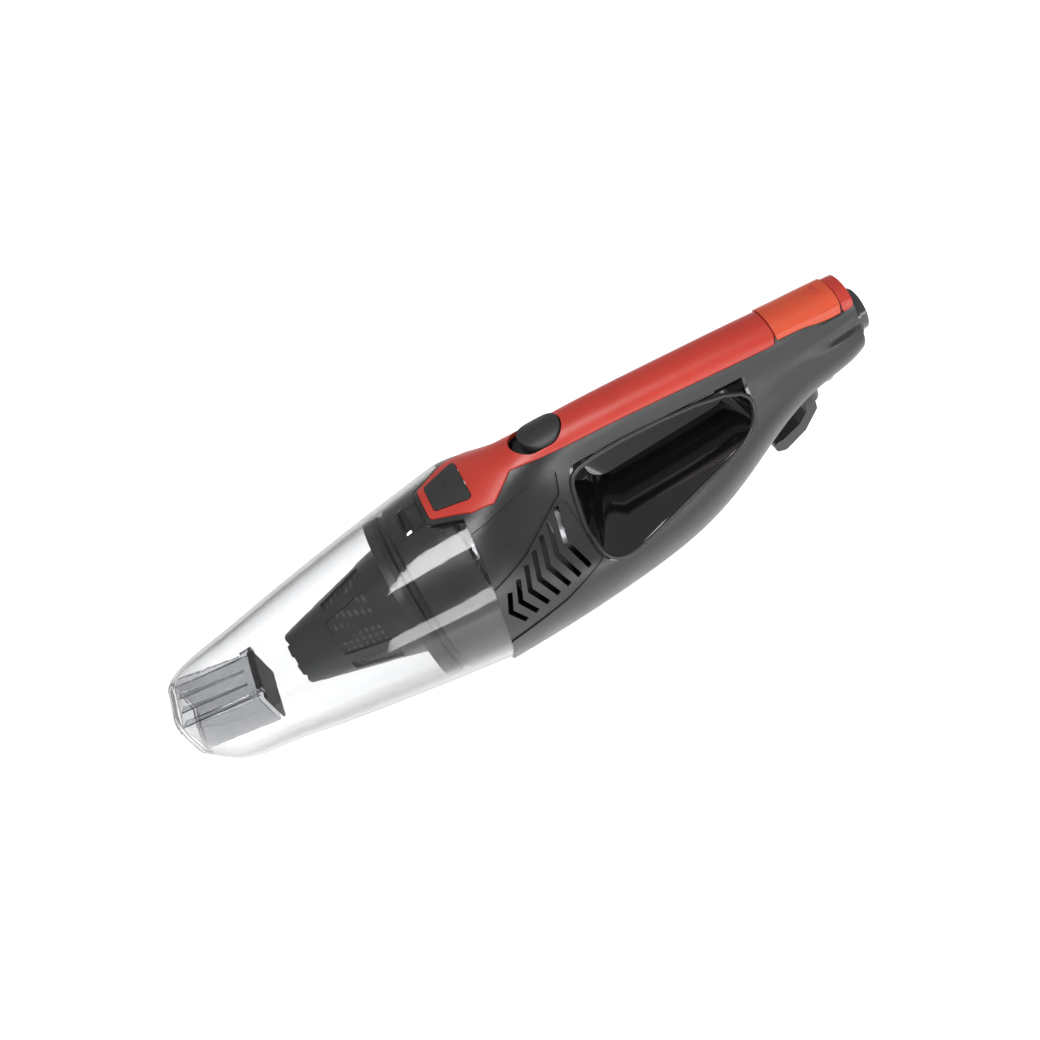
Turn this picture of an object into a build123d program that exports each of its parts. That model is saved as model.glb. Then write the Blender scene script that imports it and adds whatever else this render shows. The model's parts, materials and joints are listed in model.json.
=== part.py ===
"""Corded hand-held stick vacuum: clear dust cup, cone filter, motor body, grip and tube socket.

Frame: +X runs from the nose to the tail, +Z is up and Y = 0 is the plane of symmetry.
The origin is the centre of the mouth of the tube socket at the tail. Lengths are in mm.
"""
import os
from math import atan, cos, degrees, radians, sin

from build123d import *

os.makedirs("parts", exist_ok=True)

# ---- driving dimensions -------------------------------------------------------------
wall = 2.6                  # moulded wall of the body
cup_wall = 2.2              # clear wall of the dust cup
lining_wall = 1.8           # glossy lining of the finger opening
axis_z = -24.0              # height of the cup, filter and motor axis
barrel_radius = 61.5        # outside radius where cup and body meet
seam_x = -267.0             # cup/body joint on the motor axis
seam_tilt = 10.0            # degrees, the joint leans back at the top
tail_x = -8.0               # rear face of the body
grip_radius = 16.0          # the handle bar
grip_x = -139.0             # middle of the handle bar
grip_z = 22.7               # height of the bar's axis there
grip_slope = 0.079          # the bar drops this much for each mm towards the tail
panel_proud = 0.7           # red panel above the body
panel_sunk = 1.4            # red panel below the body's surface
panel_gap = 0.35            # shadow gap round the panel and the buttons
slide_gap = 0.3             # clearance round the moving pieces
tube_radius = 11.0          # extension tube that plugs into the tail
tube_fit = 0.15             # radial clearance round the tube
socket_depth = 44.0

# Body sections: x, top, shoulder (half width, height, slope), flank (the same), half width,
# its height, and the bottom. A slope is the degrees that the outline has turned down there.
BODY_SECTIONS = [
    (-296, 37.0, (47.1, 15.2, 50), (58.5, -5.0, 72), 61.5, -24.0, -85.5),
    (-264, 37.6, (47.1, 15.7, 50), (58.5, -5.0, 72), 61.5, -24.5, -85.6),
    (-232, 40.4, (31.5, 22.5, 52), (49.0, -3.0, 62), 58.6, -29.0, -85.5),
    (-200, 41.9, (18.2, 26.0, 68), (35.5, -3.5, 56), 54.6, -33.0, -84.8),
    (-168, 40.8, (16.2, 23.5, 82), (30.0, -5.0, 56), 50.5, -35.0, -82.6),
    (-136, 38.5, (16.0, 20.5, 84), (28.0, -6.0, 58), 44.8, -34.5, -77.8),
    (-104, 35.8, (16.0, 17.5, 84), (25.5, -6.0, 63), 36.5, -29.0, -66.5),
    (-72, 32.8, (16.0, 14.5, 84), (21.8, -3.5, 74), 26.8, -18.5, -49.0),
    (-40, 29.6, (16.2, 11.5, 82), (20.2, -1.0, 82), 21.8, -9.0, -34.0),
    (-8, 26.7, (16.6, 9.0, 74), (19.4, 0.5, 84), 20.0, -4.0, -22.5),
]

# Nose sections of the cup: x, centre height, half width, half height, squareness (0 is round).
NOSE_SECTIONS = [
    (-440, -23.6, 32.4, 32.6, 0.25),
    (-450, -21.0, 26.8, 25.6, 0.60),
    (-460, -18.6, 20.2, 17.2, 0.85),
]
cup_taper = (0.115, 0.00022)        # the cup's radius shrinks by these times s and s squared
cup_taper_x = -262.0                # s is counted from here towards the nose
cup_steps = [-246, -274, -302, -330, -358, -386, -414]


def cup_radius(x):
    """Outside radius of the dust cup's round part."""
    run = cup_taper_x - x
    return barrel_radius - cup_taper[0] * run - cup_taper[1] * run * run


CUP_SECTIONS = [(x, axis_z, cup_radius(x), cup_radius(x), 0.0) for x in cup_steps] + NOSE_SECTIONS


def section_plane(x):
    """Plane across the axis at x, whose local x points to the left side (-Y) and y up."""
    return Plane(origin=(x, 0, 0), x_dir=(0, -1, 0), z_dir=(-1, 0, 0))


def outline(points, slopes, grow):
    """Half outline through points whose directions are given, moved outwards by grow."""
    directions = [(cos(radians(slope)), -sin(radians(slope))) for slope in slopes]
    moved = [(y - grow * dz, z + grow * dy) for (y, z), (dy, dz) in zip(points, directions)]
    moved[0] = (0, moved[0][1])
    moved[-1] = (0, moved[-1][1])
    Spline(*moved, tangents=directions)
    Line(moved[-1], moved[0])


def body_half(grow, shorten=0.0):
    """Left half of the body's outside, grown by grow and cut short at the tail."""
    with BuildPart() as half:
        for x, top, shoulder, flank, belly, belly_z, bottom in BODY_SECTIONS:
            depth = belly_z - bottom
            turn = degrees(atan(depth / belly))
            low = (belly * sin(radians(45)), belly_z - depth * cos(radians(45)))
            points = [(0, top), shoulder[:2], flank[:2], (belly, belly_z), low, (0, bottom)]
            slopes = [0, shoulder[2], flank[2], 90, 180 - turn, 180]
            place = x - shorten if x == BODY_SECTIONS[-1][0] else x
            with BuildSketch(section_plane(place)):
                with BuildLine():
                    outline(points, slopes, grow)
                make_face()
        loft()
    return half.part


def cup_half(grow, front=0.0):
    """Left half of the dust cup's outside, grown by grow and moved back at the nose."""
    with BuildPart() as half:
        for x, centre, width, height, square in CUP_SECTIONS:
            corner = sin(radians(45)) * (1 + 0.24 * square)
            lean = degrees(atan(height / width))
            points = [
                (0, centre + height),
                (width * corner, centre + height * corner),
                (width, centre),
                (width * corner, centre - height * corner),
                (0, centre - height),
            ]
            slopes = [0, lean, 90, 180 - lean, 180]
            place = x + front if x == CUP_SECTIONS[-1][0] else x
            with BuildSketch(section_plane(place)):
                with BuildLine():
                    outline(points, slopes, grow)
                make_face()
        loft()
    return half.part


def save(piece, name):
    """Label one finished piece and write its STEP file."""
    piece.label = name
    export_step(piece, f"parts/{name}.step")


def both_sides(piece):
    """A left half joined with its mirror image."""
    return piece + mirror(piece, about=Plane.XZ)


# ---- shared forms -------------------------------------------------------------------
seam_plane = Plane(
    origin=(seam_x, 0, axis_z), x_dir=(0, -1, 0),
    z_dir=(-cos(radians(seam_tilt)), 0, sin(radians(seam_tilt))),
)
body_outer = body_half(0)
body_inner = body_half(-wall, shorten=wall)
cup_outer = cup_half(0)
cup_inner = cup_half(-cup_wall, front=cup_wall)


def prism(plane, corners, rounding, height):
    """Straight block on a plane with the given corners, all rounded."""
    with BuildPart() as block:
        with BuildSketch(plane) as face:
            with BuildLine():
                Polyline(*corners, close=True)
            make_face()
            fillet(face.vertices(), rounding)
        extrude(amount=height)
    return block.part


def rod(x, y, z, radius, length):
    """Round bar along +X that starts at x."""
    with BuildPart() as bar:
        with BuildSketch(Plane.YZ.offset(x)):
            with Locations((y, z)):
                Circle(radius)
        extrude(amount=length)
    return bar.part


def ring(x, z, outer, inner, length):
    """Round tube along +X that starts at x, on the plane of symmetry."""
    with BuildPart() as tube:
        with BuildSketch(Plane.YZ.offset(x)):
            with Locations((0, z)):
                Circle(outer)
                Circle(inner, mode=Mode.SUBTRACT)
        extrude(amount=length)
    return tube.part


def block(x, y, z, aligned=(Align.MIN, Align.CENTER, Align.MIN), at=(0, 0, 0)):
    """Plain box of size x, y, z with its reference corner at a point."""
    with BuildPart() as box:
        with Locations(at):
            Box(x, y, z, align=aligned)
    return box.part


# ---- finger opening -----------------------------------------------------------------
INNER_RIM = [(-186, 30), (-181, -15.5), (-90, -12.0), (-84, 30)]      # at the plane of symmetry
OUTER_RIM = [(-209, 30), (-205, -31.0), (-80, -19.0), (-70, 30)]      # at the flank
rim_reach = 54.0
rim_rounding = (12.0, 25.0)


def bar_axis(x):
    """Height of the handle bar's axis."""
    return grip_z - grip_slope * (x - grip_x)


def grip_void(grow):
    """Left half of the finger opening below the handle bar, grown by grow."""
    with BuildPart() as void:
        for reach, rim, rounding in zip((0, rim_reach), (INNER_RIM, OUTER_RIM), rim_rounding):
            with BuildSketch(Plane.XZ.offset(reach)) as face:
                with BuildLine():
                    Polyline(*rim, close=True)
                make_face()
                fillet(face.vertices().group_by(Axis.Z)[0], rounding)
                offset(amount=grow, kind=Kind.ARC)
        loft(ruled=True)
    slope = degrees(atan(grip_slope))
    bar_plane = Plane(
        origin=(grip_x, 0, bar_axis(grip_x)), x_dir=(0, -1, 0),
        z_dir=(-cos(radians(slope)), 0, sin(radians(slope))),
    )
    with BuildPart() as bar:
        with BuildSketch(bar_plane):
            Circle(grip_radius - grow)
            with Locations((0, -4)):
                Rectangle(180, 60, align=(Align.CENTER, Align.MIN))
        extrude(amount=120, both=True)
    return void.part - bar.part


void_clear = grip_void(0)
void_wide = grip_void(lining_wall)

# ---- top outlines, seen from above --------------------------------------------------
PANEL = [
    (-273, 12.4), (-251, 23.2), (-238, 23.6), (-222, 12.6), (-205, 13.4), (-57, 14.2),
]
RELEASE = [(-268.6, 10.2), (-246.8, 16.6)]
panel_rounding = 2.6
slider_x = (-209.5, -184.0)
slider_half = 10.8
slider_travel = 5.5
slider_floor = 35.2
tube_button_x = (-56.4, -15.6)
tube_button_half = 13.6


def mirrored(side):
    """Closed outline from the points of one side, listed from the nose."""
    return side + [(x, -y) for x, y in reversed(side)]


def top_prism(corners, rounding, grow=0.0):
    """Upright block over an outline seen from above, grown sideways."""
    with BuildPart() as upright:
        with BuildSketch(Plane.XY) as face:
            with BuildLine():
                Polyline(*corners, close=True)
            make_face()
            fillet(face.vertices(), rounding)
            offset(amount=grow, kind=Kind.ARC)
        extrude(amount=60)
    return upright.part


def top_oval(x_low, x_high, half, grow=0.0):
    """Upright block over an oval seen from above."""
    with BuildPart() as upright:
        with BuildSketch(Plane.XY):
            with Locations(((x_low + x_high) / 2, 0)):
                SlotOverall(x_high - x_low + 2 * grow, 2 * (half + grow))
        extrude(amount=60)
    return upright.part


panel_block = top_prism(mirrored(PANEL), panel_rounding)
panel_pocket = top_prism(mirrored(PANEL), panel_rounding, panel_gap)
tongue_block = top_prism(mirrored(PANEL[:4]), panel_rounding, 3.0)
cup_notch = top_prism(mirrored(PANEL[:4]), panel_rounding, 3.6)
release_block = top_prism(mirrored(RELEASE), 2.4)
release_well = top_prism(mirrored(RELEASE), 2.4, slide_gap)
slider_block = top_oval(*slider_x, slider_half)
slider_well = top_oval(slider_x[0] - slider_travel - 0.8, slider_x[1] + 0.8, slider_half + 0.8)
tube_button_sides = [(x, tube_button_half) for x in tube_button_x]
tube_button_block = top_prism(mirrored(tube_button_sides), 1.2)
tube_button_well = top_prism(mirrored(tube_button_sides), 1.2, slide_gap)
cap_block = top_prism(mirrored([(-14.8, 14.0), (-8, 14.0)]), 1.0)
cap_well = top_prism(mirrored([(-14.8, 14.0), (-8, 14.0)]), 1.0, 0.1) - body_half(-panel_sunk)

skin_low = body_half(-panel_sunk)
skin_high = body_half(panel_proud)
skin_button = body_half(1.6)
skin_deep = body_half(-4.0)

# ---- body shells --------------------------------------------------------------------
SCREWS = [(-238, -74), (-160, -66), (-104, -48), (-61, -27), (-172, 25)]
screw_radius = 1.9
screw_head = (3.5, 2.6)
vent_count = 7
vent_pitch = 7.6
vent_lean = 20.0            # degrees, the vent field faces this far above level
vent_width = 3.0
valley_depth = 1.3
vent_field_depth = 0.8
# Sunk fields of the flank, as x and height on the vent plane.
VALLEY = [
    (-300, 39), (-259, 39.3), (-229, 42), (-212, 43.5), (-199, 42), (-204, 28), (-236, 14),
    (-262, 8.2), (-300, 4),
]
VENT_FIELD = [
    (-300, 2), (-262, 6.2), (-236, 12), (-210, 25), (-203, 24), (-200, -15), (-230, -24),
    (-264, -28.5), (-300, -34),
]

skin = body_outer - body_inner
tongue = split(skin, bisect_by=seam_plane, keep=Keep.TOP) & tongue_block
shell = split(skin, bisect_by=seam_plane, keep=Keep.BOTTOM) + tongue
with BuildPart() as bosses:
    for boss_x, boss_z in SCREWS:
        with BuildSketch(Plane.XZ):
            with Locations((boss_x, boss_z)):
                Circle(4.2)
    extrude(amount=70)
shell = shell + (bosses.part & body_half(-wall / 2))
shell = shell - void_wide
shell = shell - (panel_pocket - skin_low)
for well in (release_well, slider_well, tube_button_well, cap_well):
    shell = shell - well

vent_plane = Plane(
    origin=(0, 0, axis_z), x_dir=(1, 0, 0),
    z_dir=(0, -cos(radians(vent_lean)), sin(radians(vent_lean))),
)
for corners, depth in ((VALLEY, valley_depth), (VENT_FIELD, vent_field_depth)):
    shell = shell - (prism(vent_plane, corners, 3.0, 90) - body_half(-depth))
with BuildPart() as vents:
    for step in range(vent_count):
        middle_x = -209.5 - vent_pitch * step
        middle_z = 4.5 - 2.2 * step
        half = 19.0 - 1.35 * step
        with BuildSketch(vent_plane):
            with BuildLine():
                Polyline(
                    (middle_x, middle_z + half), (middle_x - 5.0, middle_z),
                    (middle_x + 0.5, middle_z - half),
                )
            trace(line_width=vent_width)
    extrude(amount=80)
shell = shell - vents.part

# socket hole in the tail, hook hole and gland hole in the belly
hook_x = -43.0
gland_x = -27.0
hook_pin_radius = 3.4
shell = shell - rod(-60, 0, 0, 13.3, 80)
with BuildPart() as belly_holes:
    with BuildSketch(Plane.XY.offset(-60)):
        with Locations((hook_x, 0)):
            Circle(6.0)
        with Locations((gland_x, 0)):
            Circle(4.5)
    extrude(amount=50)
shell = shell - belly_holes.part
with BuildPart() as screw_holes:
    for boss_x, boss_z in SCREWS:
        with BuildSketch(Plane.XZ):
            with Locations((boss_x, boss_z)):
                Circle(screw_radius)
    extrude(amount=9)
with BuildPart() as head_holes:
    for boss_x, boss_z in SCREWS:
        with BuildSketch(Plane.XZ.offset(8)):
            with Locations((boss_x, boss_z)):
                Circle(screw_head[0] + 0.2)
    extrude(amount=80)
shell = shell - screw_holes.part
save(shell, "body_shell_left")
shell_right = mirror(shell, about=Plane.XZ) - mirror(head_holes.part, about=Plane.XZ)
save(shell_right, "body_shell_right")

lining = (void_wide - void_clear) & body_outer
save(lining, "grip_lining_left")
save(mirror(lining, about=Plane.XZ), "grip_lining_right")

# ---- red panel, buttons and tail cap ------------------------------------------------
panel = (skin_high & panel_block) - skin_low
for well in (release_well, slider_well):
    panel = panel - well
save(both_sides(panel), "top_panel")
release_button = both_sides((skin_button & release_block) - skin_deep)
release_foot = block(2.5, 8.0, 5.0, at=(-268.4, 0, 29.9))
save(release_button + release_foot, "release_button")
slider_top = slider_block - block(60, 60, 60, at=(-230, 0, slider_floor - 60))
save(both_sides(body_half(2.0) & slider_top), "switch_slider")
tube_button = both_sides((skin_button & tube_button_block) - skin_deep)
tube_button_foot = block(3.0, 4.0, 7.0, at=(-51.5, 0, 20.6))
save(tube_button + tube_button_foot, "tube_release_button")
save(both_sides((skin_high & cap_block) - skin_low), "rear_cap")

# ---- dust cup and inlet duct --------------------------------------------------------
window_x = -287.0
duct_front = (-457.8, -18.6, 33.0, 23.0)      # x, centre height, clear width, clear height
duct_back = (-412.0, -26.5, 36.4, 24.0)
duct_wall = 1.3
flap_hinge = (-409.0, -11.6)


def duct(front, back, grow):
    """Tapered rectangular passage from the nose opening to the flap."""
    with BuildPart() as passage:
        for x, z, width, height in (front, back):
            with BuildSketch(Plane.YZ.offset(x)):
                with Locations((0, z)):
                    RectangleRounded(width + 2 * grow, height + 2 * grow, 2.0 + grow)
        loft(ruled=True)
    return passage.part


cup_skin = both_sides(cup_outer)
cup_space = both_sides(cup_inner)
cup = cup_skin - cup_space
cup = split(cup, bisect_by=seam_plane, keep=Keep.TOP)
cup = cup - cup_notch
cup = cup - block(3.2, 21, 30, aligned=(Align.CENTER, Align.CENTER, Align.MIN), at=(window_x, 0, 20))
with BuildPart() as mouth_cut:
    with BuildSketch(Plane.YZ.offset(-462)):
        with Locations((0, duct_front[1])):
            RectangleRounded(duct_front[2], duct_front[3], 2.0)
    extrude(amount=6)
cup = cup - mouth_cut.part
save(cup, "dust_cup")

duct_body = duct(duct_front, duct_back, duct_wall) - duct(duct_front, duct_back, 0)
for rib_y in (-15.9, -5.3, 5.3, 15.9):
    with BuildPart() as rib:
        with BuildSketch(Plane.XZ.offset(-rib_y)):
            with BuildLine():
                Polyline((-457, -6.2), (-452, -2.5), (-416, -10.4), (-416, -13.6), close=True)
            make_face()
        extrude(amount=0.7, both=True)
    duct_body = duct_body + (rib.part - duct(duct_front, duct_back, 0.6))
save(duct_body & cup_space, "inlet_duct")

# ---- flap at the end of the duct ----------------------------------------------------
flap_neck = (1.6, 29.0, 20.0)
flap_plate = (1.6, 36.0, 22.4)
pin_radius = 1.2
pin_x, pin_z = flap_hinge
with BuildPart() as flap:
    with Locations((pin_x, 0, pin_z)):
        Box(*flap_neck, align=(Align.CENTER, Align.CENTER, Align.MAX))
    with Locations((pin_x, 0, pin_z - 4.6)):
        Box(*flap_plate, align=(Align.CENTER, Align.CENTER, Align.MAX))
    with BuildSketch(Plane.XZ.offset(15)):
        with Locations((pin_x, pin_z)):
            Circle(pin_radius + 1.0)
    extrude(amount=-30)
    with BuildSketch(Plane.XZ.offset(40)):
        with Locations((pin_x, pin_z)):
            Circle(pin_radius + 0.05)
    extrude(amount=-80, mode=Mode.SUBTRACT)
save(flap.part, "inlet_flap")
with BuildPart() as flap_pin:
    with BuildSketch(Plane.XZ.offset(18)):
        with Locations((pin_x, pin_z)):
            Circle(pin_radius)
    extrude(amount=-36)
save(flap_pin.part, "flap_pin")
with BuildPart() as flap_lugs:
    for side in (-1, 1):
        with Locations((pin_x + 1.8, side * 16.6, pin_z - 1.5)):
            Box(7.6, 2.0, 3.6, align=(Align.MAX, Align.CENTER, Align.MIN))
    with BuildSketch(Plane.XZ.offset(40)):
        with Locations((pin_x, pin_z)):
            Circle(pin_radius)
    extrude(amount=-80, mode=Mode.SUBTRACT)
save(flap_lugs.part - duct(duct_front, duct_back, duct_wall), "flap_hinge_lugs")

# ---- filter: cone frame, mesh, pleats, flange seal ----------------------------------
filter_axis_z = -21.0
cone_x = (-384.0, -310.0)
cone_radii = (16.5, 36.0)
cone_wall = 1.8
flange_x = (-311.0, -306.0)
flange_radius = 52.4
window_count = 10
tip_notches = 8


def cone(x_low, x_high, r_low, r_high, z):
    """Solid cone along +X."""
    with BuildPart() as solid:
        with BuildSketch(Plane.YZ.offset(x_low)):
            with Locations((0, z)):
                Circle(r_low)
        with BuildSketch(Plane.YZ.offset(x_high)):
            with Locations((0, z)):
                Circle(r_high)
        loft(ruled=True)
    return solid.part


def around(z, count, start=0.0):
    """Angles and planes of pieces spaced round an axis along X at height z."""
    for step in range(count):
        turn = start + 360.0 * step / count
        yield Plane(
            origin=(0, 0, z), x_dir=(1, 0, 0), z_dir=(0, sin(radians(turn)), cos(radians(turn)))
        )


frame_cone = cone(*cone_x, *cone_radii, filter_axis_z)
frame_hollow = cone(
    cone_x[0] + 3.0, cone_x[1] + 1, cone_radii[0] - cone_wall + 0.8, cone_radii[1] - cone_wall,
    filter_axis_z,
)
filter_frame = frame_cone - frame_hollow
for place in around(filter_axis_z, window_count, 9.0):
    with BuildPart() as window:
        with BuildSketch(place):
            with BuildLine():
                Polyline((-356, 4.0), (-327, 7.4), (-327, -7.4), (-356, -4.0), close=True)
            make_face()
        extrude(amount=60)
    filter_frame = filter_frame - window.part
for place in around(filter_axis_z, tip_notches):
    with BuildPart() as notch:
        with BuildSketch(place):
            with Locations((-385, 0)):
                Rectangle(5.0, 5.0)
        extrude(amount=60)
    filter_frame = filter_frame - (notch.part - rod(-400, 0, filter_axis_z, 12.4, 30))
flange_disc = rod(flange_x[0], 0, axis_z, flange_radius, flange_x[1] - flange_x[0])
flange_hole = rod(flange_x[0] - 5, 0, filter_axis_z, cone_radii[1] - cone_wall, 20)
filter_frame = (filter_frame - rod(flange_x[0], 0, filter_axis_z, 60, 20)) + flange_disc
save(filter_frame - flange_hole, "filter_frame")
save(ring(flange_x[1], axis_z, flange_radius - 0.4, 40.0, 3.0), "filter_seal")

mesh_gap = 0.2
filter_mesh = cone(
    cone_x[0] + 3.4, cone_x[1] - 1.0, cone_radii[0] - cone_wall + 0.4,
    cone_radii[1] - cone_wall - mesh_gap - 0.5, filter_axis_z,
) - cone(
    cone_x[0] + 4.0, cone_x[1], cone_radii[0] - cone_wall,
    cone_radii[1] - cone_wall - mesh_gap - 1.1, filter_axis_z,
)
save(filter_mesh, "filter_mesh")

pleat_count = 28
with BuildPart() as pleats:
    for x, outer, inner in ((-374, 13.6, 10.2), (-314, 29.0, 23.5)):
        with BuildSketch(Plane.YZ.offset(x)):
            with BuildLine():
                corners = []
                for step in range(2 * pleat_count):
                    turn = radians(180.0 * step / pleat_count)
                    radius = outer if step % 2 else inner
                    corners.append((radius * cos(turn), filter_axis_z + radius * sin(turn)))
                Polyline(*corners, close=True)
            make_face()
    loft(ruled=True)
save(pleats.part - cone(-370, -313, 7.0, 20.5, filter_axis_z), "filter_pleats")

# ---- motor housing ------------------------------------------------------------------
barrel_x = (-299.0, -263.0)
barrel_radii = (53.6, 56.9)
barrel_wall = 2.2
grille_slots = 12


def turned(profile, z):
    """Solid of revolution about an axis along X at height z, from x and radius points."""
    with BuildPart() as solid:
        with BuildSketch(Plane(origin=(0, 0, z), x_dir=(1, 0, 0), z_dir=(0, -1, 0))):
            with BuildLine():
                Polyline(*profile, close=True)
            make_face()
        revolve(axis=Axis((0, 0, z), (1, 0, 0)))
    return solid.part


bx0, bx1 = barrel_x
br0, br1 = barrel_radii
barrel = turned(
    [
        (bx0, 12.0), (bx0, br0 - 2.0), (bx0 + 2.0, br0), (-270, br1), (bx1, br1),
        (bx1, br1 - barrel_wall), (-270, br1 - barrel_wall), (bx0 + barrel_wall, br0 - 3.0),
        (bx0 + barrel_wall, 12.0),
    ],
    axis_z,
)
with BuildPart() as grille:
    with BuildSketch(Plane.YZ.offset(bx0 - 1)):
        with Locations((0, axis_z)):
            with PolarLocations(28, grille_slots):
                SlotOverall(24, 5)
    extrude(amount=6)
lever_slot = block(60, 20.0, 40, aligned=(Align.MIN, Align.CENTER, Align.MIN), at=(-290.6, 0, 24))
button_slot = block(20, 37.0, 40, aligned=(Align.MIN, Align.CENTER, Align.MIN), at=(-271, 0, 24))
barrel = barrel - grille.part - lever_slot - button_slot
save(barrel, "motor_barrel")
cup_seal = turned(
    [(-301.4, 44.0), (-301.4, 51.0), (-299.0, 51.0), (-299.0, 44.0)], axis_z
)
save(cup_seal, "cup_seal")

# ---- motor, impeller and shroud -----------------------------------------------------
shaft_radius = 3.0
fan_radius = 43.0
can_radius = 31.0
can_x = (-262.0, -209.0)
save(turned(
    [
        (-294, 13), (-294, 46), (-264, 46), (-264, can_radius + 0.2), (-265.2, can_radius + 0.2),
        (-265.2, 44.8), (-292.8, 44.8), (-292.8, 13),
    ],
    axis_z,
), "fan_shroud")
save(turned(
    [(-296.6, 40.0), (-296.6, 45.0), (-294.0, 45.0), (-294.0, 40.0)], axis_z
), "motor_front_seal")

impeller = turned(
    [(-290.6, 12), (-290.6, 14), (-283.6, fan_radius), (-282.6, fan_radius), (-289.4, 12)], axis_z
)
impeller = impeller + ring(-276.4, axis_z, fan_radius, shaft_radius, 1.4)
impeller = impeller + ring(-284.0, axis_z, 8.0, shaft_radius, 8.0)
for place in around(axis_z, 8):
    with BuildPart() as blade:
        with BuildSketch(place.offset(0)):
            with BuildLine():
                Polyline((-288.2, 0.7), (-275.4, 0.7), (-275.4, -0.7), (-288.2, -0.7), close=True)
            make_face()
        extrude(amount=fan_radius - 0.5)
    cheek = turned([(-300, 0), (-300, 60), (-282.6, fan_radius), (-289.4, 12), (-289.4, 0)], axis_z)
    impeller = impeller + (blade.part - cheek - rod(-292, 0, axis_z, 7.5, 20))
save(impeller, "fan_impeller")
save(rod(-290, 0, axis_z, shaft_radius, 76), "motor_shaft")
fan_nut = turned([(-289, shaft_radius), (-289, 6), (-284, 6), (-284, shaft_radius)], axis_z)
save(fan_nut, "fan_nut")

save(turned(
    [
        (can_x[0], 9.2), (can_x[0], can_radius), (can_x[1], can_radius), (can_x[1], 8.2),
        (can_x[1] - 1.4, 8.2), (can_x[1] - 1.4, can_radius - 1.4),
        (can_x[0] + 1.4, can_radius - 1.4), (can_x[0] + 1.4, 9.2),
    ],
    axis_z,
), "motor_can")
save(ring(-262, axis_z, 9.2, shaft_radius + 0.06, 6.0), "front_bearing")
save(ring(-215, axis_z, 8.2, shaft_radius + 0.06, 6.0), "rear_bearing")
save(ring(-254, axis_z, can_radius - 1.4, 17.0, 22.0), "field_core")
coil = turned([(-230.6, 18), (-230.6, 27), (-226, 27), (-226, 18)], axis_z)
save(coil, "field_winding")
save(ring(-253, axis_z, 16.2, shaft_radius, 20.0), "rotor_core")
save(ring(-231.5, axis_z, 9.5, shaft_radius, 9.0), "commutator")
with BuildPart() as brushes:
    for side in (-1, 1):
        with Locations((-225.8, side * 13.7, axis_z)):
            Box(5.0, 8.0, 4.0)
save(brushes.part - rod(-240, 0, axis_z, 9.7, 30), "carbon_brushes")
save(ring(can_x[1], axis_z, 22.0, 10.0, 5.0), "rear_motor_mount")
save(ring(-250, axis_z, 40.0, can_radius + 0.4, 32.0), "exhaust_foam")

# ---- cup latch: lever under the release button --------------------------------------
lever_pivot = (-250.5, 26.2)
lever_pin_radius = 1.5
lever_thick = 2.4
lever_x = (-288.4, -247.5)
nose_top = 31.0
lever_z = 27.2
with BuildPart() as lever:
    with BuildSketch(Plane.XZ.offset(9)):
        with BuildLine():
            Polyline(
                (lever_x[0], lever_z), (lever_x[0], nose_top), (lever_x[0] + 2.8, nose_top),
                (lever_x[0] + 4.4, lever_z + lever_thick), (lever_x[1], lever_z + lever_thick),
                (lever_x[1], lever_z), close=True,
            )
        make_face()
    extrude(amount=-18)
    with BuildSketch(Plane.XZ.offset(9)):
        with Locations(lever_pivot):
            Circle(lever_pin_radius + 1.5)
    extrude(amount=-18)
    with BuildSketch(Plane.XZ.offset(20)):
        with Locations(lever_pivot):
            Circle(lever_pin_radius + 0.05)
    extrude(amount=-40, mode=Mode.SUBTRACT)
save(lever.part, "latch_lever")
with BuildPart() as latch_pin:
    with BuildSketch(Plane.XZ.offset(14)):
        with Locations(lever_pivot):
            Circle(lever_pin_radius)
    extrude(amount=-28)
save(latch_pin.part, "latch_pin")


def coil_spring(x, z_low, z_high, radius, wire, turns):
    """Upright coil spring between two heights."""
    with BuildPart() as spring:
        with BuildLine(Plane.XY.offset(z_low + wire)) as path:
            Helix((z_high - z_low - 2 * wire) / turns, z_high - z_low - 2 * wire, radius)
        with BuildSketch(Plane(path.line @ 0, z_dir=path.line % 0)):
            Circle(wire)
        sweep()
    return spring.part.moved(Location((x, 0, 0)))


spring_x = -273.0
shroud_top = axis_z + 46.0
save(coil_spring(spring_x, shroud_top + 0.1, lever_z - 0.1, 3.4, 0.4, 2.5), "latch_spring")

# ---- power switch -------------------------------------------------------------------
seat_top = slider_floor - 0.3
seat_block = top_oval(slider_x[0] - slider_travel - 0.6, slider_x[1] + 0.6, slider_half + 0.6)
seat_full = seat_block & block(80, 60, 2.0, at=(-235, 0, seat_top - 2.0))
link_slot = block(13.0, 4.6, 9, at=(-205.0, 0, seat_top - 5))
save((seat_full - link_slot) & both_sides(body_half(-wall - 0.1)), "switch_seat")
save(block(5.0, 4.0, slider_floor - 30.2, at=(-198.5, 0, 30.2)), "switch_link")
save(block(16.0, 7.0, 9.8, at=(-201.5, 0, 20.0)), "micro_switch")

# ---- tube socket, catch and tail ----------------------------------------------------
socket_outer = 13.1
catch_pivot = (-40.0, 17.0)
catch_pin_radius = 1.2
bore_radius = tube_radius + tube_fit
socket = ring(-socket_depth, 0, socket_outer, bore_radius, socket_depth)
socket = socket + rod(-socket_depth - 2.0, 0, 0, socket_outer, 2.0)
catch_window = block(7.0, 6.0, 12, at=(-32.0, 0, 5))
for ear_y in (-4.3, 4.3):
    socket = socket + (
        block(6.0, 2.0, 10.0, at=(-43.0, ear_y, 9.4)) - rod(-50, 0, 0, bore_radius + 1, 30)
    )
with BuildPart() as ear_holes:
    with BuildSketch(Plane.XZ.offset(20)):
        with Locations(catch_pivot):
            Circle(catch_pin_radius)
    extrude(amount=-40)
socket = socket - catch_window - ear_holes.part
mouth_edges = socket.edges().sort_by(Axis.X)[-2:]
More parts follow.
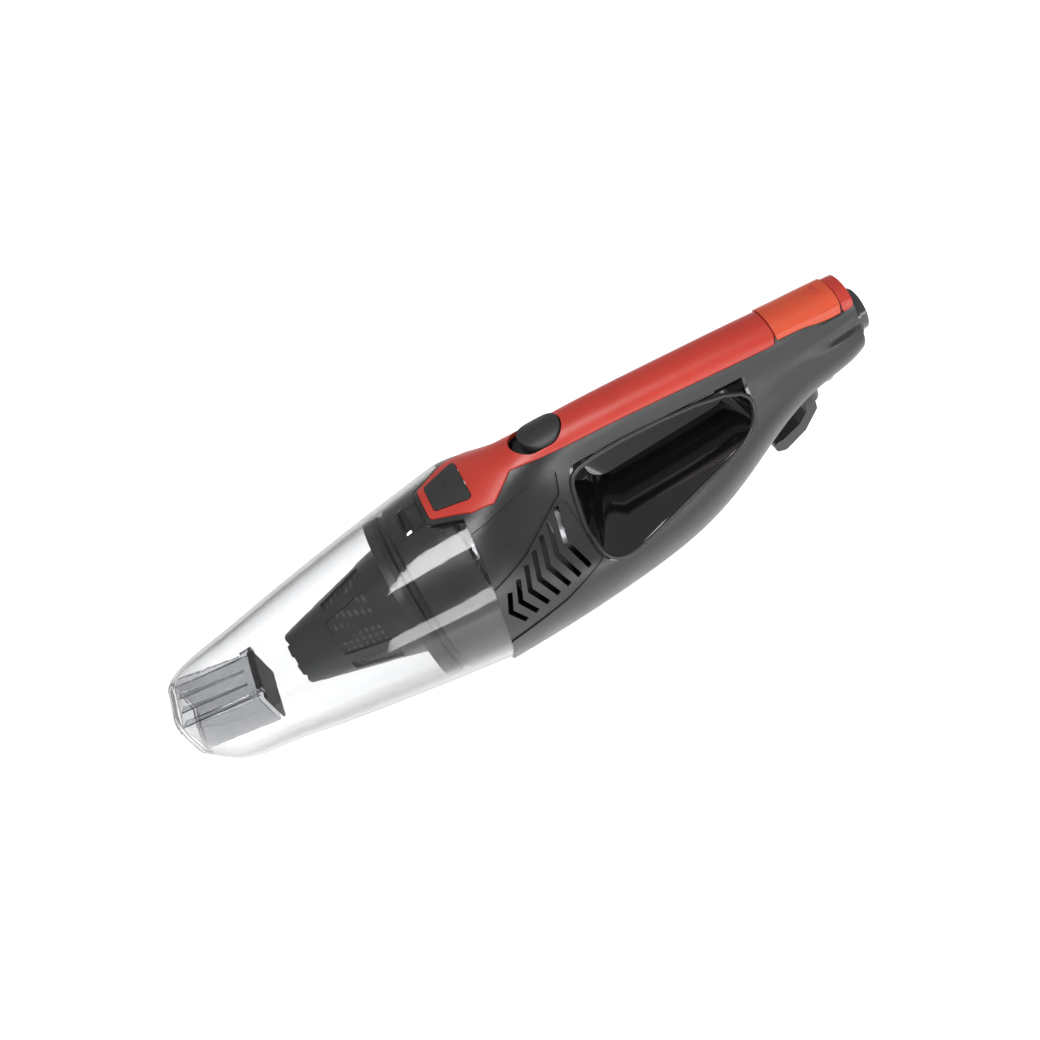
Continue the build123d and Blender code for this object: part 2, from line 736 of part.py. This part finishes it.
save(fillet(mouth_edges.sort_by(SortBy.LENGTH)[-1:], 0.6), "tube_socket")
save(ring(tail_x, 0, 15.4, socket_outer + 0.1, 3.0), "socket_collar")

with BuildPart() as catch:
    with BuildSketch(Plane.XZ.offset(2.6)):
        with BuildLine():
            Polyline(
                (-52.0, 17.6), (-38.0, 15.6), (-31.4, 15.6), (-31.4, 11.6), (-26.6, 11.6),
                (-26.6, 18.0), (-38.0, 18.6), (-52.0, 20.4), close=True,
            )
        make_face()
    extrude(amount=-5.2)
    with BuildSketch(Plane.XZ.offset(2.6)):
        with Locations(catch_pivot):
            Circle(catch_pin_radius + 1.4)
    extrude(amount=-5.2)
    with BuildSketch(Plane.XZ.offset(20)):
        with Locations(catch_pivot):
            Circle(catch_pin_radius + 0.05)
    extrude(amount=-40, mode=Mode.SUBTRACT)
save(catch.part, "tube_catch")
with BuildPart() as catch_pin:
    with BuildSketch(Plane.XZ.offset(5.6)):
        with Locations(catch_pivot):
            Circle(catch_pin_radius)
    extrude(amount=-11.2)
save(catch_pin.part, "catch_pin")
save(coil_spring(-50.0, socket_outer + 0.2, 17.4, 1.9, 0.3, 2.5), "catch_spring")

# ---- cord hook and gland ------------------------------------------------------------
HOOK = [
    (-46.5, -44.0), (-39.5, -44.0), (-39.5, -52.0), (-50.0, -64.5), (-65.0, -71.5),
    (-71.5, -69.0), (-71.5, -61.0), (-66.0, -62.0), (-53.0, -57.0), (-46.5, -50.0),
]
with BuildPart() as hook:
    with BuildSketch(Plane.XZ.offset(6)) as hook_side:
        with BuildLine():
            Polyline(*HOOK, close=True)
        make_face()
        fillet(hook_side.vertices(), 3.2)
    extrude(amount=-12)
    with BuildSketch(Plane.XY.offset(-48)):
        with Locations((hook_x, 0)):
            Circle(hook_pin_radius)
    extrude(amount=22)
    with BuildSketch(Plane.XY.offset(-26)):
        with Locations((hook_x, 0)):
            Circle(hook_pin_radius + 1.4)
    extrude(amount=1.6)
save(hook.part, "cord_hook")
skin_under = body_outer & block(60, 60, 30, at=(-70, 0, -50))
with BuildPart() as hook_base:
    with BuildSketch(Plane.XY.offset(-43.6)):
        with Locations((hook_x, 0)):
            Circle(5.9)
            Circle(hook_pin_radius + 0.08, mode=Mode.SUBTRACT)
    extrude(amount=17.2)
    with BuildSketch(Plane.XY.offset(-43.6)):
        with Locations((hook_x, 0)):
            Circle(8.2)
            Circle(5.9, mode=Mode.SUBTRACT)
    extrude(amount=14)
save(hook_base.part - both_sides(skin_under), "hook_base")
with BuildPart() as gland:
    with BuildSketch(Plane.XY.offset(-38.0)):
        with Locations((gland_x, 0)):
            Circle(4.4)
            Circle(2.8, mode=Mode.SUBTRACT)
    extrude(amount=16.0)
save(gland.part, "cord_gland")

# ---- body screws --------------------------------------------------------------------
with BuildPart() as screws:
    for boss_x, boss_z in SCREWS:
        with BuildSketch(Plane.XZ.offset(8.5)):
            with Locations((boss_x, boss_z)):
                Circle(screw_radius - 0.1)
        extrude(amount=-16.5)
        with BuildSketch(Plane.XZ.offset(-8.0)):
            with Locations((boss_x, boss_z)):
                Circle(screw_head[0])
                RegularPolygon(1.5, 6, mode=Mode.SUBTRACT)
        extrude(amount=-screw_head[1])
save(screws.part, "body_screws")
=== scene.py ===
"""Looks of the corded hand-held vacuum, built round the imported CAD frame. Lengths in metres."""
import json
import math

import bmesh
import bpy
from mathutils import Matrix, Vector
from mathutils.bvhtree import BVHTree


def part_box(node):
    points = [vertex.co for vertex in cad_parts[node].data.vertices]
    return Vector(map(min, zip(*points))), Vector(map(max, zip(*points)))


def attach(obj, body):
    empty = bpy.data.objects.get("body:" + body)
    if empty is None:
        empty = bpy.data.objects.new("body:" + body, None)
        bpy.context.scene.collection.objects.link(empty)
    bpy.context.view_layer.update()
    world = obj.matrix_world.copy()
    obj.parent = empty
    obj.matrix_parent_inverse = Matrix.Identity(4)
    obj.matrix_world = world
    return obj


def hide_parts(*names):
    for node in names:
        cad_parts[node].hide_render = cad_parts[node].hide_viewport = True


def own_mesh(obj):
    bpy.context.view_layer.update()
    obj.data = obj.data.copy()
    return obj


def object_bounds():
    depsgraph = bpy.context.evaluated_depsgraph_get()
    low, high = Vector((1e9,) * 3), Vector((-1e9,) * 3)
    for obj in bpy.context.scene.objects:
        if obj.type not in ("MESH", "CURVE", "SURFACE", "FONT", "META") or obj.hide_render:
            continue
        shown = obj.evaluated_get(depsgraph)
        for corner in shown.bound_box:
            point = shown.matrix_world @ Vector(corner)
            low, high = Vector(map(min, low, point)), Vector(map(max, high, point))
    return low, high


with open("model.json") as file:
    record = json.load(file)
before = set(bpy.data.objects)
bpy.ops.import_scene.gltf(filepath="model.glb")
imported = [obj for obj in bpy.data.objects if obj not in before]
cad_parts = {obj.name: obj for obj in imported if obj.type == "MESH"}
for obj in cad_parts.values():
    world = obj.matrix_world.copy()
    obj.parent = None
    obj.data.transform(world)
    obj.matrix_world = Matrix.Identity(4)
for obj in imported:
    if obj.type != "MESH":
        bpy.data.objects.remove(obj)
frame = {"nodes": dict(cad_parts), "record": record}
cad_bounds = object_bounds()
nodes = frame["nodes"]
MM = 0.001

# ---- camera -------------------------------------------------------------------------
view_elevation = math.radians(46.0)
view_roll = math.radians(30.0)
view_distance = 0.676
view_lens = 39.8
look_at = Vector((-0.2304, 0.0, -0.013))


def add_camera():
    """Camera at the left of the object, above it, rolled so that the nose points down."""
    back = Vector((0, -math.cos(view_elevation), math.sin(view_elevation)))
    along = Vector((1, 0, 0))
    across = back.cross(along)
    right = along * math.cos(view_roll) - across * math.sin(view_roll)
    up = along * math.sin(view_roll) + across * math.cos(view_roll)
    data = bpy.data.cameras.new("camera")
    data.lens = view_lens
    data.sensor_width = 36.0
    data.clip_start = 0.01
    camera = bpy.data.objects.new("camera", data)
    bpy.context.scene.collection.objects.link(camera)
    turn = Matrix((right, up, back)).transposed().to_4x4()
    camera.matrix_world = Matrix.Translation(look_at + back * view_distance) @ turn
    bpy.context.scene.camera = camera
    bpy.context.scene.view_settings.view_transform = "Standard"


# ---- materials ----------------------------------------------------------------------
def new_material(name):
    """Empty node material with its shader and a shared object-space position."""
    material = bpy.data.materials.new(name)
    material.use_nodes = True
    tree = material.node_tree
    shader = tree.nodes["Principled BSDF"]
    place = tree.nodes.new("ShaderNodeTexCoord").outputs["Object"]
    return material, tree, shader, place


def noise(tree, place, scale, detail=4.0, stretch=(1, 1, 1)):
    """Noise over the object's own coordinates."""
    mapping = tree.nodes.new("ShaderNodeMapping")
    mapping.inputs["Scale"].default_value = stretch
    tree.links.new(place, mapping.inputs["Vector"])
    texture = tree.nodes.new("ShaderNodeTexNoise")
    texture.inputs["Scale"].default_value = scale
    texture.inputs["Detail"].default_value = detail
    tree.links.new(mapping.outputs["Vector"], texture.inputs["Vector"])
    return texture.outputs["Fac"]


def spread(tree, value, low, high, clip=(0.3, 0.7)):
    """Map a texture's values to a range of numbers."""
    node = tree.nodes.new("ShaderNodeMapRange")
    node.inputs["From Min"].default_value = clip[0]
    node.inputs["From Max"].default_value = clip[1]
    node.inputs["To Min"].default_value = low
    node.inputs["To Max"].default_value = high
    tree.links.new(value, node.inputs["Value"])
    return node.outputs["Result"]


def tint(tree, value, dark, light):
    """Colour ramp between two colours."""
    ramp = tree.nodes.new("ShaderNodeValToRGB")
    ramp.color_ramp.elements[0].color = (*dark, 1)
    ramp.color_ramp.elements[1].color = (*light, 1)
    ramp.color_ramp.elements[0].position = 0.3
    ramp.color_ramp.elements[1].position = 0.7
    tree.links.new(value, ramp.inputs["Fac"])
    return ramp.outputs["Color"]


def bump(tree, shader, height, strength, distance):
    """Fine relief from a texture's values."""
    node = tree.nodes.new("ShaderNodeBump")
    node.inputs["Strength"].default_value = strength
    node.inputs["Distance"].default_value = distance
    tree.links.new(height, node.inputs["Height"])
    tree.links.new(node.outputs["Normal"], shader.inputs["Normal"])


patch_scale = 22.0                      # broad changes of tone
smudge_scale = 60.0                     # handling marks in the gloss
grain_depth = 0.08 * MM
coat_rough = 0.08


def plastic(name, colour, rough, grain=1400.0, relief=0.12, vary=0.10, coat=0.0, level=0.5):
    """Moulded plastic: fine spark-eroded grain, slight tone change and handling smudges."""
    material, tree, shader, place = new_material(name)
    broad = noise(tree, place, patch_scale, 3.0)
    dark = [c * (1 - vary) for c in colour]
    light = [min(1.0, c * (1 + vary)) for c in colour]
    tree.links.new(tint(tree, broad, dark, light), shader.inputs["Base Color"])
    smudge = noise(tree, place, smudge_scale, 6.0)
    tree.links.new(
        spread(tree, smudge, rough * 0.88, rough * 1.14), shader.inputs["Roughness"]
    )
    bump(tree, shader, noise(tree, place, grain, 2.0), relief, grain_depth)
    shader.inputs["Coat Weight"].default_value = coat
    shader.inputs["Coat Roughness"].default_value = coat_rough
    shader.inputs["Specular IOR Level"].default_value = level
    return material


line_scale = 120.0                      # drawing and grinding lines
line_depth = 0.05 * MM


def metal(name, colour, rough, stretch=(1, 1, 30)):
    """Drawn or ground metal with fine lines."""
    material, tree, shader, place = new_material(name)
    lines = noise(tree, place, line_scale, 4.0, stretch)
    dark = [c * 0.86 for c in colour]
    tree.links.new(tint(tree, lines, dark, colour), shader.inputs["Base Color"])
    tree.links.new(spread(tree, lines, rough * 0.8, rough * 1.3), shader.inputs["Roughness"])
    bump(tree, shader, lines, 0.15, line_depth)
    shader.inputs["Metallic"].default_value = 1.0
    return material


clear_ior = 1.42
ripple_scale = 14.0                     # flow lines of the moulding
ripple_depth = 0.4 * MM
haze_scale = 70.0
painted_edge_shade_colour = (0.03, 0.032, 0.035)      # painted shade: near-black colour painted on the wall where it is seen edge on, for the dark edge lines of the clear plastic
painted_shade_from = 0.35                        # how far from square on the wall the painted shade starts
painted_shade_span = (0.55, 0.92)                # where the painted shade turns the wall from clear to nearly opaque
painted_shade_clear = 0.05                       # light that still passes at the end of that span


def clear_plastic(name, colour, rough, haze):
    """Clear moulded plastic: faint ripples, a little haze, and painted shade edge on (base colour
    darkened and transmission cut where the wall is seen edge on).
    """
    material, tree, shader, place = new_material(name)
    flow = noise(tree, place, ripple_scale, 2.0, (0.4, 1, 1))
    # painted shade: the Layer Weight facing value darkens the base colour where the wall is seen edge on
    painted_shade_mask = tree.nodes.new("ShaderNodeLayerWeight")
    painted_shade_mask.inputs["Blend"].default_value = 0.5
    edge = tree.nodes.new("ShaderNodeValToRGB")
    edge.color_ramp.elements[0].position = painted_shade_from
    edge.color_ramp.elements[0].color = (*colour, 1)
    edge.color_ramp.elements[1].position = 1.0
    edge.color_ramp.elements[1].color = (*painted_edge_shade_colour, 1)
    tree.links.new(painted_shade_mask.outputs["Facing"], edge.inputs["Fac"])
    tree.links.new(edge.outputs["Color"], shader.inputs["Base Color"])
    cloud = noise(tree, place, haze_scale, 4.0)
    tree.links.new(spread(tree, cloud, rough, rough + haze), shader.inputs["Roughness"])
    bump(tree, shader, flow, 0.05, ripple_depth)
    shader.inputs["Transmission Weight"].default_value = 1.0
    # painted shade: transmission falls where the wall is seen edge on, so the edge reads dark
    tree.links.new(
        spread(tree, painted_shade_mask.outputs["Facing"], 1.0, painted_shade_clear, painted_shade_span),
        shader.inputs["Transmission Weight"],
    )
    shader.inputs["IOR"].default_value = clear_ior
    return material


waves_per_unit = 20.0                   # a wave texture's bands at a scale of 1
thread_height = 0.2 * MM


def woven(name, colour, pitch):
    """Fine crossed threads."""
    material, tree, shader, place = new_material(name)
    total = None
    for direction in ("X", "Z"):
        wave = tree.nodes.new("ShaderNodeTexWave")
        wave.bands_direction = direction
        wave.inputs["Scale"].default_value = 1.0 / (pitch * waves_per_unit)
        tree.links.new(place, wave.inputs["Vector"])
        if total is None:
            total = wave.outputs["Fac"]
        else:
            join = tree.nodes.new("ShaderNodeMath")
            join.operation = "MULTIPLY"
            tree.links.new(total, join.inputs[0])
            tree.links.new(wave.outputs["Fac"], join.inputs[1])
            total = join.outputs["Value"]
    dark = [c * 0.4 for c in colour]
    tree.links.new(tint(tree, total, dark, colour), shader.inputs["Base Color"])
    shader.inputs["Roughness"].default_value = 0.85
    bump(tree, shader, total, 0.6, thread_height)
    return material


MATERIALS = {
    "body_dark": lambda n: plastic(n, (0.014, 0.0145, 0.0155), 0.34, relief=0.10),
    "lining_gloss": lambda n: plastic(n, (0.0045, 0.0045, 0.005), 0.07, relief=0.0, coat=0.6),
    "red_panel": lambda n: plastic(n, (0.430, 0.032, 0.020), 0.36, relief=0.08, vary=0.05),
    "orange_button": lambda n: plastic(n, (0.540, 0.066, 0.024), 0.38, relief=0.08, vary=0.05),
    "button_dark": lambda n: plastic(n, (0.020, 0.020, 0.021), 0.46, relief=0.2),
    "seat_dark": lambda n: plastic(n, (0.010, 0.010, 0.010), 0.55),
    "inner_dark": lambda n: plastic(n, (0.014, 0.014, 0.0145), 0.5),
    "filter_dark": lambda n: plastic(n, (0.022, 0.0225, 0.024), 0.42, relief=0.1),
    "barrel_dark": lambda n: plastic(n, (0.016, 0.0165, 0.018), 0.36, relief=0.1),
    "socket_gloss": lambda n: plastic(n, (0.030, 0.031, 0.034), 0.16, relief=0.02, coat=0.4),
    "hook_dark": lambda n: plastic(n, (0.028, 0.0285, 0.030), 0.42),
    "gland_grey": lambda n: plastic(n, (0.42, 0.42, 0.43), 0.5),
    "flap_rubber": lambda n: plastic(n, (0.012, 0.012, 0.012), 0.6, 700.0, 0.2),
    "seal_rubber": lambda n: plastic(n, (0.012, 0.012, 0.012), 0.6, 700.0, 0.2),
    "carbon": lambda n: plastic(n, (0.02, 0.02, 0.02), 0.7),
    "foam": lambda n: plastic(n, (0.05, 0.05, 0.05), 0.95, 500.0, 0.9),
    "pleat_paper": lambda n: plastic(n, (0.78, 0.77, 0.74), 0.9, 900.0, 0.4, 0.04),
    "mesh_grey": lambda n: woven(n, (0.10, 0.10, 0.105), 0.6 * MM),
    "clear_cup": lambda n: clear_plastic(n, (0.86, 0.865, 0.87), 0.01, 0.03),
    "clear_duct": lambda n: clear_plastic(n, (0.60, 0.605, 0.615), 0.04, 0.05),
    "pin_steel": lambda n: metal(n, (0.62, 0.62, 0.63), 0.25),
    "shroud_steel": lambda n: metal(n, (0.60, 0.60, 0.61), 0.32),
    "fan_aluminium": lambda n: metal(n, (0.74, 0.74, 0.75), 0.3),
    "can_steel": lambda n: metal(n, (0.58, 0.58, 0.60), 0.34),
    "core_steel": lambda n: metal(n, (0.34, 0.34, 0.35), 0.4, (40, 1, 1)),
    "copper": lambda n: metal(n, (0.72, 0.33, 0.16), 0.3, (40, 1, 1)),
    "screw_steel": lambda n: metal(n, (0.22, 0.22, 0.23), 0.35),
}
finishes = {slot: make(slot) for slot, make in MATERIALS.items()}


def dress_cad():
    """Give every CAD node its finish."""
    for part in frame["record"]["subparts"]:
        mesh = nodes[part["node"]].data
        mesh.materials.clear()
        mesh.materials.append(finishes[part["material_slot"]])


# ---- moulded details ----------------------------------------------------------------
def surface(node):
    """Search tree over a CAD node's faces."""
    mesh = nodes[node].data
    corners = [v.co.copy() for v in mesh.vertices]
    return BVHTree.FromPolygons(corners, [tuple(p.vertices) for p in mesh.polygons])


def on_top(tree, x, y, lift=0.0):
    """Point of a surface straight below (x, y), raised along its normal, and the normal."""
    place, normal, _, _ = tree.ray_cast(Vector((x, y, 0.2)), Vector((0, 0, -1)))
    return place + normal * lift, normal


def add_piece(name, build, body, slot):
    """Make a mesh with a bmesh function and hang it on a body with a slot's finish."""
    shape = bmesh.new()
    build(shape)
    bmesh.ops.recalc_face_normals(shape, faces=shape.faces)
    mesh = bpy.data.meshes.new(name)
    shape.to_mesh(mesh)
    shape.free()
    for face in mesh.polygons:
        face.use_smooth = True
    mesh.materials.append(finishes[slot])
    piece = bpy.data.objects.new(name, mesh)
    bpy.context.scene.collection.objects.link(piece)
    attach(piece, body)
    return piece


def sweep(shape, path, radius, closed=False, sides=10):
    """Round bead along a path of points."""
    rings = []
    count = len(path)
    for i, point in enumerate(path):
        after = path[(i + 1) % count] if closed or i + 1 < count else point
        before = path[i - 1] if closed or i else point
        along = (after - before).normalized()
        side = along.cross(Vector((0, 0.6, 0.8))).normalized()
        top = side.cross(along)
        ring = []
        for k in range(sides):
            turn = 2 * math.pi * k / sides
            ring.append(shape.verts.new(point + (side * math.cos(turn) + top * math.sin(turn)) * radius))
        rings.append(ring)
    pairs = list(zip(rings, rings[1:])) + ([(rings[-1], rings[0])] if closed else [])
    for low, high in pairs:
        for k in range(sides):
            shape.faces.new((low[k], low[(k + 1) % sides], high[(k + 1) % sides], high[k]))
    if not closed:
        shape.faces.new(rings[0])
        shape.faces.new(list(reversed(rings[-1])))


rim_radius = 1.5 * MM
rim_points = 120
rim_crease = 0.5                        # radians between faces at the lining's outer edge
rim_inner = 8 * MM                      # edges nearer the middle plane than this are inside
rim_touch = 0.08 * MM
rim_passes = 6                          # rounds of smoothing along the line


def rim_path(side):
    """Smooth closed line where the finger opening's lining meets the outside of the shell."""
    lining = bmesh.new()
    lining.from_mesh(nodes["grip_lining_" + side].data)
    bmesh.ops.remove_doubles(lining, verts=lining.verts, dist=1e-6)
    shell = surface("body_shell_" + side)
    outward = -1 if side == "left" else 1
    found = []
    for edge in lining.edges:
        if len(edge.link_faces) != 2 or edge.calc_face_angle(0) < rim_crease:
            continue
        middle = (edge.verts[0].co + edge.verts[1].co) / 2
        if abs(middle.y) < rim_inner or shell.find_nearest(middle)[3] > rim_touch:
            continue
        found.append(middle.copy())
    lining.free()
    centre = sum(found, Vector()) / len(found)
    tilt = Vector((0, -outward * 0.83, 0.55))
    bins = {}
    for point in found:
        offset = point - centre
        turn = math.atan2(offset.dot(tilt), offset.x)
        slot = int((turn + math.pi) / (2 * math.pi) * rim_points) % rim_points
        if slot not in bins or offset.length > (bins[slot] - centre).length:
            bins[slot] = point
    path = [bins[slot] for slot in sorted(bins)]
    for _ in range(rim_passes):
        path = [
            (path[i - 1] + path[i] * 2 + path[(i + 1) % len(path)]) / 4 for i in range(len(path))
        ]
    return path


def add_rim_beads():
    """Soft rolled rim round both sides of the finger opening."""
    for side in ("left", "right"):
        path = rim_path(side)
        add_piece(
            "grip_rim_" + side, lambda shape: sweep(shape, path, rim_radius, closed=True, sides=14),
            "housing", "body_dark",
        )


dot_pitch = 2.3 * MM
dot_radius = 0.72 * MM
dot_start = -30.0 * MM
dot_rows = 5
dot_row_step = 0.87                     # rows of a triangle, as a share of the pitch
dot_flatness = 0.45
rib_places = (-201.0, -197.5, -194.0)   # mm
rib_span = 4.6
rib_radius = 0.5 * MM
rib_steps = 6
arrow_tip = -260.5                      # mm
arrow_run = 3.6
arrow_spread = 3.4
arrow_radius = 0.35 * MM
arrow_steps = 5


def add_button_marks():
    """Grip dots on the tube button, ribs on the slider and an arrow on the release button."""
    tube_button = surface("tube_release_button")

    def dots(shape):
        for row in range(dot_rows):
            for step in range(row + 1):
                y = (step - row / 2) * dot_pitch
                place, normal = on_top(tube_button, dot_start + row * dot_pitch * dot_row_step, y)
                turn = normal.to_track_quat("Z", "Y").to_matrix().to_4x4()
                flat = Matrix.Diagonal((1, 1, dot_flatness, 1))
                bmesh.ops.create_uvsphere(
                    shape, u_segments=16, v_segments=10, radius=dot_radius,
                    matrix=Matrix.Translation(place) @ turn @ flat,
                )

    add_piece("tube_button_dots", dots, "tube_button", "red_panel")
    slider = surface("switch_slider")

    def ribs(shape):
        for x in rib_places:
            line = [
                on_top(slider, x * MM, (rib_span * k / rib_steps - rib_span / 2) * MM)[0]
                for k in range(rib_steps + 1)
            ]
            sweep(shape, line, rib_radius)

    add_piece("slider_ribs", ribs, "slider", "button_dark")
    release = surface("release_button")

    def arrow(shape):
        for side in (-1, 1):
            line = [
                on_top(
                    release,
                    (arrow_tip + arrow_run * k / arrow_steps) * MM,
                    side * arrow_spread * k / arrow_steps * MM,
                )[0]
                for k in range(arrow_steps + 1)
            ]
            sweep(shape, line, arrow_radius)

    add_piece("release_arrow", arrow, "release_button", "button_dark")


# Return springs: CAD node, name, the joint that presses it, wire radius and length left.
SPRINGS = [
    ("latch_spring", "latch_coil", "latch_pivot", 0.4 * MM, 0.28),
    ("catch_spring", "catch_coil", "catch_pivot", 0.3 * MM, 0.28),
]
spring_turns = 3
spring_points = 24


def add_springs():
    """Coil springs in place of the CAD's rigid ones."""
    for node, name, joint, wire, keep in SPRINGS:
        low, high = (Vector(corner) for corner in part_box(node))
        foot = Vector(((low.x + high.x) / 2, (low.y + high.y) / 2, low.z))
        radius = (high.x - low.x) / 2 - wire
        rise = high.z - low.z - 2 * wire
        count = spring_turns * spring_points
        coil = []
        for k in range(count + 1):
            turn = 2 * math.pi * k / spring_points
            lift = wire + rise * k / count
            coil.append(foot + Vector((radius * math.cos(turn), radius * math.sin(turn), lift)))
        piece = add_piece(name, lambda shape: sweep(shape, coil, wire), "housing", "pin_steel")
        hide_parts(node)
        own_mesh(piece)


# ---- stage --------------------------------------------------------------------------
floor_drop = 0.16
floor_size = 60.0
floor_glow = 0.62                       # keeps the floor white under a soft light
world_strength = 0.38
key_light = ((-0.35, -0.5, 1.2), (0.9, 0.5), 14.0)          # place, size, power
strip_light = ((-0.2, -1.1, 0.05), (1.2, 0.25), 6.0)


def add_floor():
    """Pale floor below the object."""
    mesh = bpy.data.meshes.new("floor")
    half = floor_size / 2
    level = cad_bounds[0][2] - floor_drop
    corners = [(-half, -half), (half, -half), (half, half), (-half, half)]
    mesh.from_pydata([(x, y, level) for x, y in corners], [], [(0, 1, 2, 3)])
    floor = bpy.data.objects.new("floor", mesh)
    bpy.context.scene.collection.objects.link(floor)
    material, tree, shader, place = new_material("floor_paper")
    tree.links.new(
        tint(tree, noise(tree, place, 3.0), (0.93, 0.93, 0.93), (0.95, 0.95, 0.95)),
        shader.inputs["Base Color"],
    )
    shader.inputs["Roughness"].default_value = 0.9
    shader.inputs["Specular IOR Level"].default_value = 0.0
    shader.inputs["Emission Color"].default_value = (1, 1, 1, 1)
    shader.inputs["Emission Strength"].default_value = floor_glow
    mesh.materials.append(material)


def add_softbox(name, place, size, power):
    """Rectangular studio light aimed at the middle of the object."""
    data = bpy.data.lights.new(name, "AREA")
    data.shape = "RECTANGLE"
    data.size, data.size_y = size
    data.energy = power
    light = bpy.data.objects.new(name, data)
    bpy.context.scene.collection.objects.link(light)
    light.location = place
    aim = look_at - Vector(place)
    light.rotation_euler = aim.to_track_quat("-Z", "Y").to_euler()


def add_lights():
    """Soft surroundings, one large key light above and one strip at the left side."""
    world = bpy.data.worlds.new("studio")
    world.use_nodes = True
    world.node_tree.nodes["Background"].inputs["Color"].default_value = (1, 1, 1, 1)
    world.node_tree.nodes["Background"].inputs["Strength"].default_value = world_strength
    bpy.context.scene.world = world
    add_softbox("key", *key_light)
    add_softbox("strip", *strip_light)


add_camera()
dress_cad()
add_rim_beads()
add_button_marks()
add_springs()
add_floor()
add_lights()
